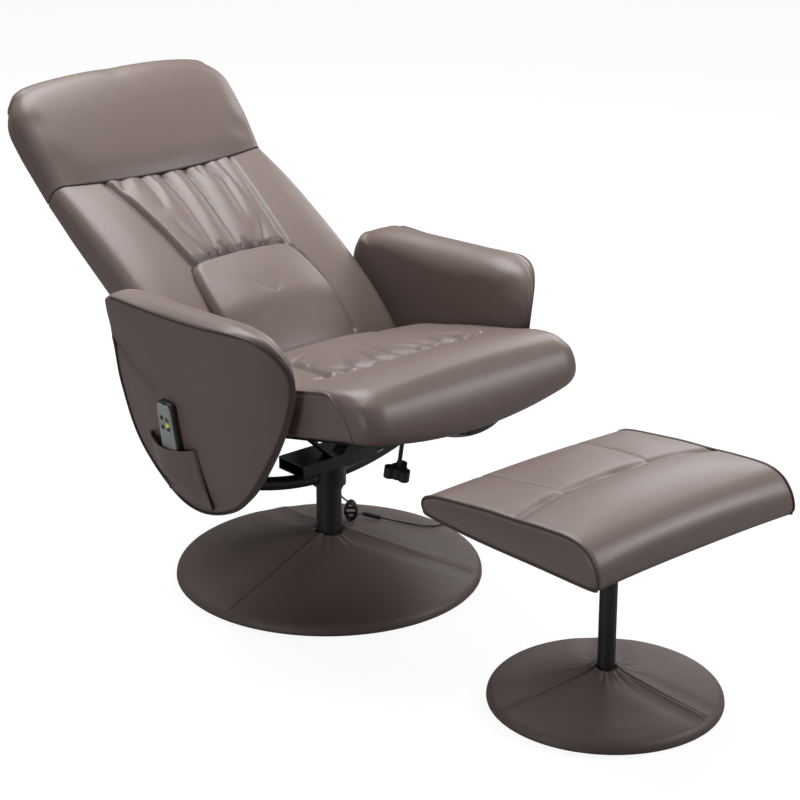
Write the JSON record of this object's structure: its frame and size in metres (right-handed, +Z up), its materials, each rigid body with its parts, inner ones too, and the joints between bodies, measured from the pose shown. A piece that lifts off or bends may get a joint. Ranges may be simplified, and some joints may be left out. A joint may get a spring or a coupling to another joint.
{
  "type": "massage recliner with footstool",
  "caption": "Padded recliner on a round swivel base, with teardrop armrests, a reclining back, a recline lock knob, a remote control in an arm pocket and a matching padded footstool.",
  "frame": {"origin": "on the floor under the chair's swivel axis, at the middle of the chair base's underside", "axes": "+Z up, the chair faces -Y, the sitter's left is +X"},
  "size_m": [0.7706, 1.5739, 0.8342],
  "materials": {
    "padding": "satin",
    "upholstery": "satin",
    "plywood": "matte",
    "bare_steel": "satin",
    "black_metal": "satin",
    "black_plastic": "matte",
    "black_rubber": "satin",
    "remote_silver": "satin",
    "button_rubber": "matte"
  },
  "bodies": {
    "base": {"chair_glides": "black_plastic", "chair_base_plate": "black_metal", "chair_base_cover": "upholstery", "chair_column": "black_metal", "column_bolts": "bare_steel", "column_bushes": "black_plastic", "thrust_washer": "black_plastic", "lead_grommet": "black_rubber", "lead_drop": "black_rubber", "lead_hank": "black_rubber", "lead_link": "black_rubber", "lead_connector": "black_plastic", "lead_run": "black_rubber", "lead_coil": "black_rubber", "lead_ties": "black_rubber", "mains_adapter": "black_plastic"},
    "back": {"back_frame": "black_metal", "back_cover": "upholstery", "back_cushion": "padding", "lumbar_cushion": "padding", "headrest_cushion": "padding", "back_motor_case": "black_plastic"},
    "lock_bar": {"lock_bar": "black_metal"},
    "knob": {"lock_knob": "black_plastic", "lock_stem": "bare_steel"},
    "seat_motor_weight": {"seat_motor_weight": "bare_steel"},
    "back_motor_weight": {"back_motor_weight": "bare_steel"},
    "remote": {"remote_case": "black_plastic", "remote_face": "remote_silver"},
    "stool": {"stool_glides": "black_plastic", "stool_base_plate": "black_metal", "stool_base_cover": "upholstery", "stool_column": "black_metal", "stool_board": "plywood", "stool_cushion": "padding"},
    "button_power": {"remote_button_power": "button_rubber"},
    "button_back": {"remote_button_back": "button_rubber"},
    "button_seat": {"remote_button_seat": "button_rubber"},
    "button_strength": {"remote_button_strength": "button_rubber"},
    "seat_unit": {"arm_bolts": "bare_steel", "bow_hub": "black_metal", "bow_tube": "black_metal", "control_box": "black_plastic", "hinge_pins": "bare_steel", "left_arm_board": "plywood", "left_arm_pad": "padding", "left_arm_panel": "upholstery", "lock_bracket": "black_metal", "mechanism_box": "black_metal", "remote_pocket": "upholstery", "right_arm_board": "plywood", "right_arm_pad": "padding", "right_arm_panel": "upholstery", "seat_cushion": "padding", "seat_frame": "black_metal", "seat_motor_case": "black_plastic", "seat_panel": "plywood", "seat_struts": "black_metal", "spindle_clip": "bare_steel", "swivel_spindle": "bare_steel"}
  },
  "joints": [
    {"name": "swivel", "type": "hinge", "parent": "base", "child": "seat_unit", "pos_m": [0, 0, 0.18], "axis": [0, 0, 1], "continuous": true},
    {"name": "recline", "type": "hinge", "parent": "seat_unit", "child": "back", "pos_m": [0, 0.095, 0.385], "axis": [1, 0, 0], "range_deg": [-4, 30]},
    {"name": "lock_bar_slide", "type": "slide", "parent": "seat_unit", "child": "lock_bar", "axis": [0, 0.9763, -0.2164], "range_m": [-0.02, 0.07]},
    {"name": "knob_turn", "type": "hinge", "parent": "seat_unit", "child": "knob", "pos_m": [0, -0.20901, 0.34895], "axis": [0, -0.1736, 0.9848], "range_deg": [-180, 180]},
    {"name": "seat_motor_spin", "type": "hinge", "parent": "seat_unit", "child": "seat_motor_weight", "pos_m": [0, -0.15903, 0.3942], "axis": [0, 0.2164, 0.9763], "continuous": true},
    {"name": "back_motor_spin", "type": "hinge", "parent": "back", "child": "back_motor_weight", "pos_m": [0, 0.19942, 0.46473], "axis": [0, -0.5446, 0.8387], "continuous": true},
    {"name": "remote_lift", "type": "slide", "parent": "seat_unit", "child": "remote", "axis": [-0.1392, 0, 0.9903], "range_m": [0, 0.09]},
    {"name": "stool_slide", "type": "slide", "parent": "base", "child": "stool", "axis": [0, -1, 0], "range_m": [-0.08, 0.3]},
    {"name": "press_power", "type": "slide", "parent": "remote", "child": "button_power", "axis": [0.9903, 0, 0.1392], "range_m": [0, 0.0012], "stiffness_N_per_m": 300},
    {"name": "press_back", "type": "slide", "parent": "remote", "child": "button_back", "axis": [0.9903, 0, 0.1392], "range_m": [0, 0.0012], "stiffness_N_per_m": 300},
    {"name": "press_seat", "type": "slide", "parent": "remote", "child": "button_seat", "axis": [0.9903, 0, 0.1392], "range_m": [0, 0.0012], "stiffness_N_per_m": 300},
    {"name": "press_strength", "type": "slide", "parent": "remote", "child": "button_strength", "axis": [0.9903, 0, 0.1392], "range_m": [0, 0.0012], "stiffness_N_per_m": 300}
  ],
  "couplings": [
    {"joint": "lock_bar_slide", "follows": "recline", "m_per_rad": 0.106}
  ]
}
